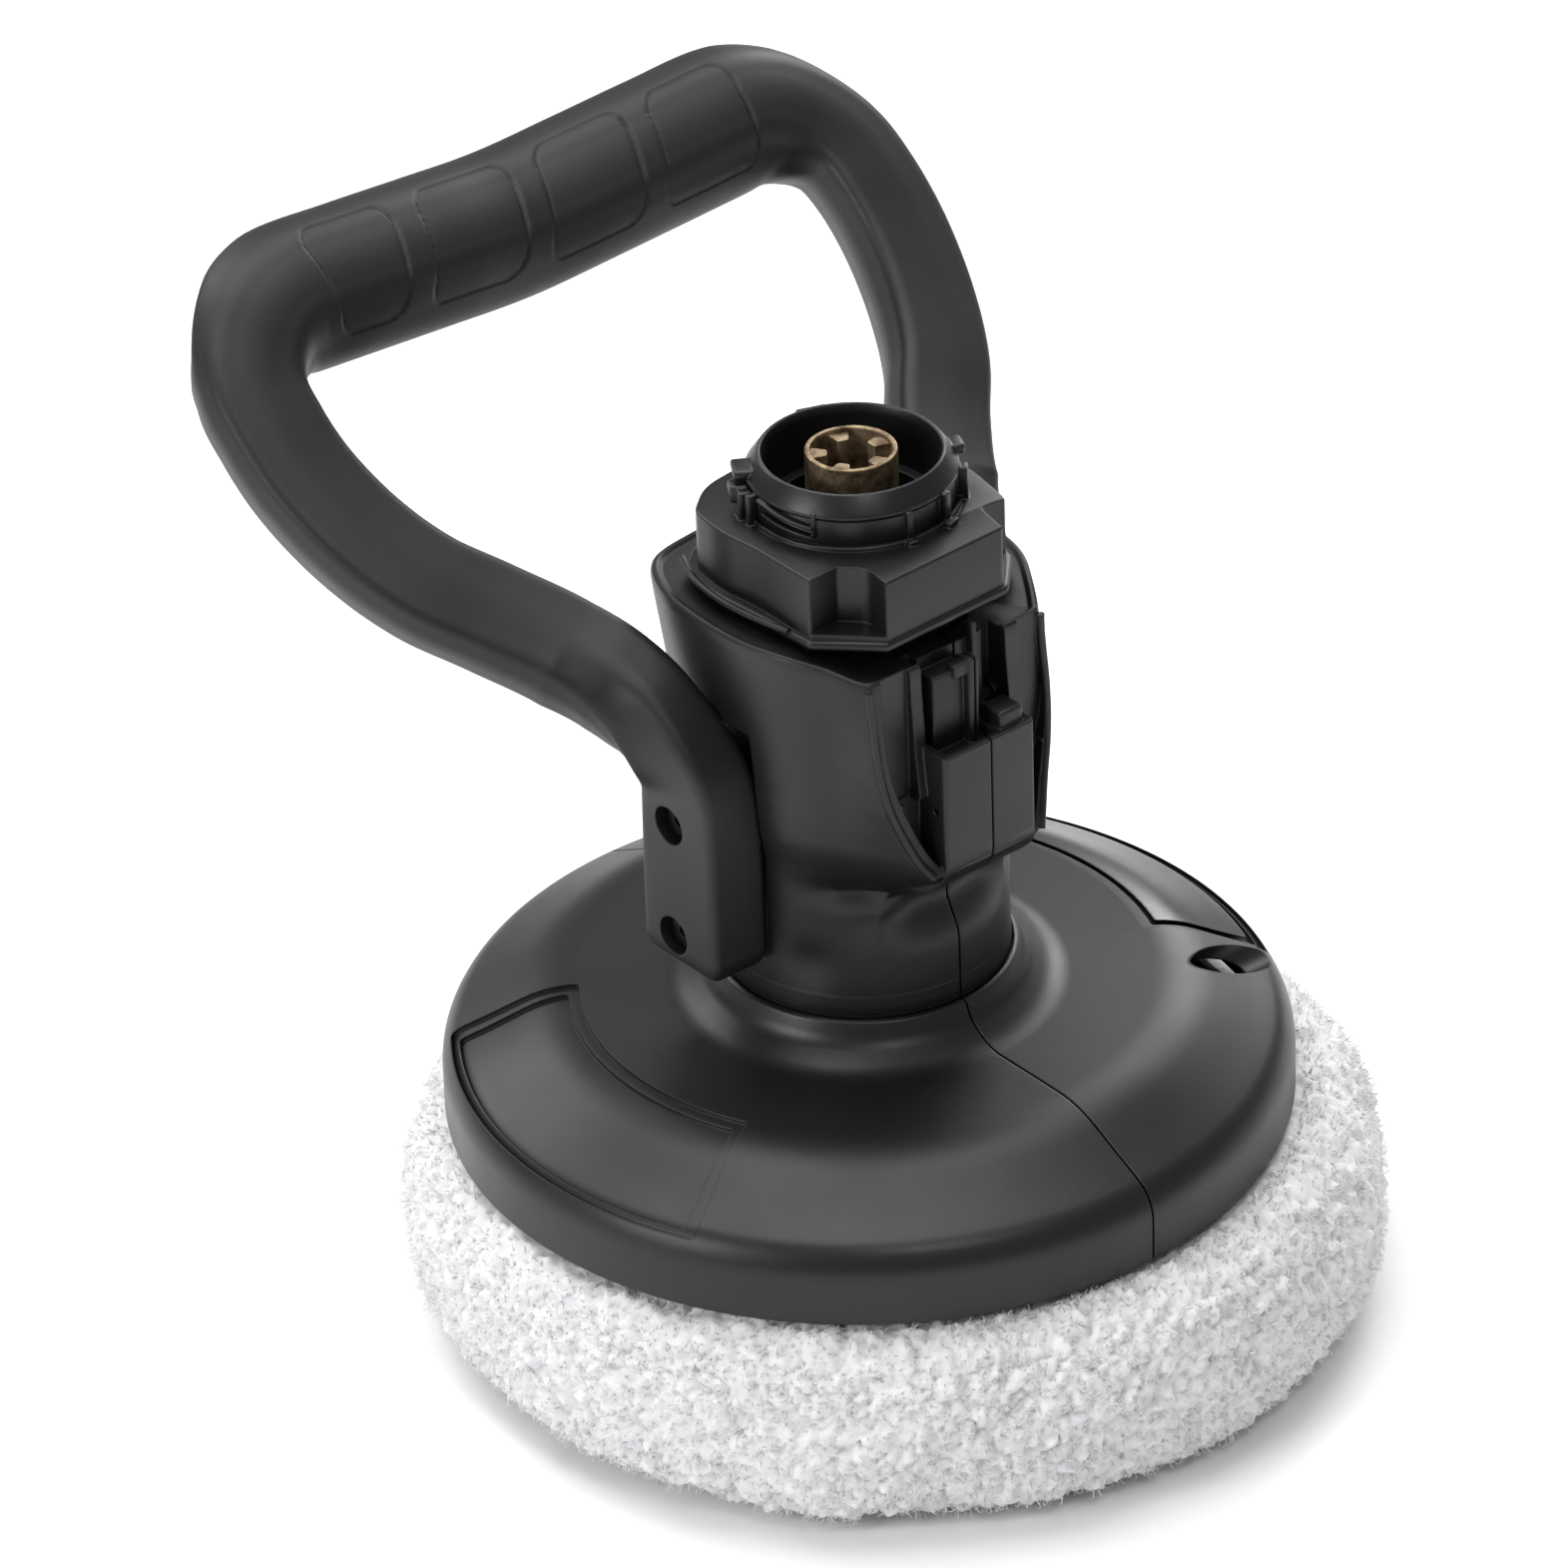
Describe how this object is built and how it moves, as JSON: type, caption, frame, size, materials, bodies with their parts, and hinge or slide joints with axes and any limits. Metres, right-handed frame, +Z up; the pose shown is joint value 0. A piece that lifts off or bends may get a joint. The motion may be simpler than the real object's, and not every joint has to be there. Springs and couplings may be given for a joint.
{
  "type": "quick-change polishing head",
  "caption": "Random-orbit polishing head with a bail handle, a bayonet coupler and drive socket on top, and a round pad under a tufted fleece bonnet.",
  "frame": {"origin": "on the spindle axis, at the flat underside of the bonnet", "axes": "+Z up along the spindle axis, -Y towards the latch channel and box at the front, +Y towards the handle's grip, X across the two handle feet"},
  "size_m": [0.1879, 0.2144, 0.2066],
  "materials": {
    "housing_shell": "fine matt black moulded nylon",
    "coupler_nylon": "satin black moulded nylon",
    "handle_grip": "soft matt black overmould",
    "sintered_metal": "oiled sintered metal",
    "bright_steel": "ground",
    "gear_steel": "hardened, darker",
    "black_screw": "black oxide",
    "cast_weight": "as cast",
    "felt": "grey felt",
    "foam": "dark open-cell foam",
    "fleece": "white tufted fleece",
    "label_black": "smooth black label"
  },
  "bodies": {
    "housing": {"housing_left": "housing_shell", "housing_right": "housing_shell", "label_plate": "label_black", "coupler_body": "coupler_nylon", "handle": "handle_grip", "ring_gear": "gear_steel", "gearbox_plate": "bright_steel", "input_bearing": "bright_steel", "upper_bearing": "bright_steel", "lower_bearing": "bright_steel", "felt_seal": "felt", "handle_screw_1": "black_screw", "handle_screw_2": "black_screw", "handle_screw_3": "black_screw", "handle_screw_4": "black_screw", "disc_screw_1": "black_screw", "disc_screw_2": "black_screw", "neck_screw_1": "black_screw", "neck_screw_2": "black_screw", "neck_screw_3": "black_screw"},
    "spindle": {"output_spindle": "bright_steel", "carrier": "bright_steel", "counterweight": "cast_weight", "pad_bearing": "bright_steel", "planet_pin_1": "bright_steel", "planet_pin_2": "bright_steel", "planet_pin_3": "bright_steel"},
    "input": {"drive_socket": "sintered_metal", "input_shaft": "bright_steel", "sun_gear": "gear_steel"},
    "planet_1": {"planet_gear_1": "gear_steel"},
    "planet_2": {"planet_gear_2": "gear_steel"},
    "planet_3": {"planet_gear_3": "gear_steel"},
    "pad": {"pad_hub": "bright_steel", "backing_plate": "coupler_nylon", "pad_screw": "black_screw", "pad_washer": "bright_steel", "foam_pad": "foam", "bonnet": "fleece"}
  },
  "joints": [
    {"name": "carrier_spin", "type": "hinge", "parent": "housing", "child": "spindle", "pos_m": [0, 0, 0.08], "axis": [0, 0, 1], "continuous": true},
    {"name": "input_spin", "type": "hinge", "parent": "housing", "child": "input", "pos_m": [0, 0, 0.14], "axis": [0, 0, 1], "continuous": true},
    {"name": "planet_spin_1", "type": "hinge", "parent": "spindle", "child": "planet_1", "pos_m": [0.012, 0, 0.1165], "axis": [0, 0, 1], "continuous": true},
    {"name": "planet_spin_2", "type": "hinge", "parent": "spindle", "child": "planet_2", "pos_m": [-0.006, 0.01039, 0.1165], "axis": [0, 0, 1], "continuous": true},
    {"name": "planet_spin_3", "type": "hinge", "parent": "spindle", "child": "planet_3", "pos_m": [-0.006, -0.01039, 0.1165], "axis": [0, 0, 1], "continuous": true},
    {"name": "pad_spin", "type": "hinge", "parent": "spindle", "child": "pad", "pos_m": [0.00355, -0.00292, 0.05], "axis": [0, 0, 1], "continuous": true}
  ],
  "couplings": [
    {"joint": "input_spin", "follows": "carrier_spin", "ratio": 4},
    {"joint": "planet_spin_1", "follows": "carrier_spin", "ratio": -3},
    {"joint": "planet_spin_2", "follows": "carrier_spin", "ratio": -3},
    {"joint": "planet_spin_3", "follows": "carrier_spin", "ratio": -3}
  ]
}
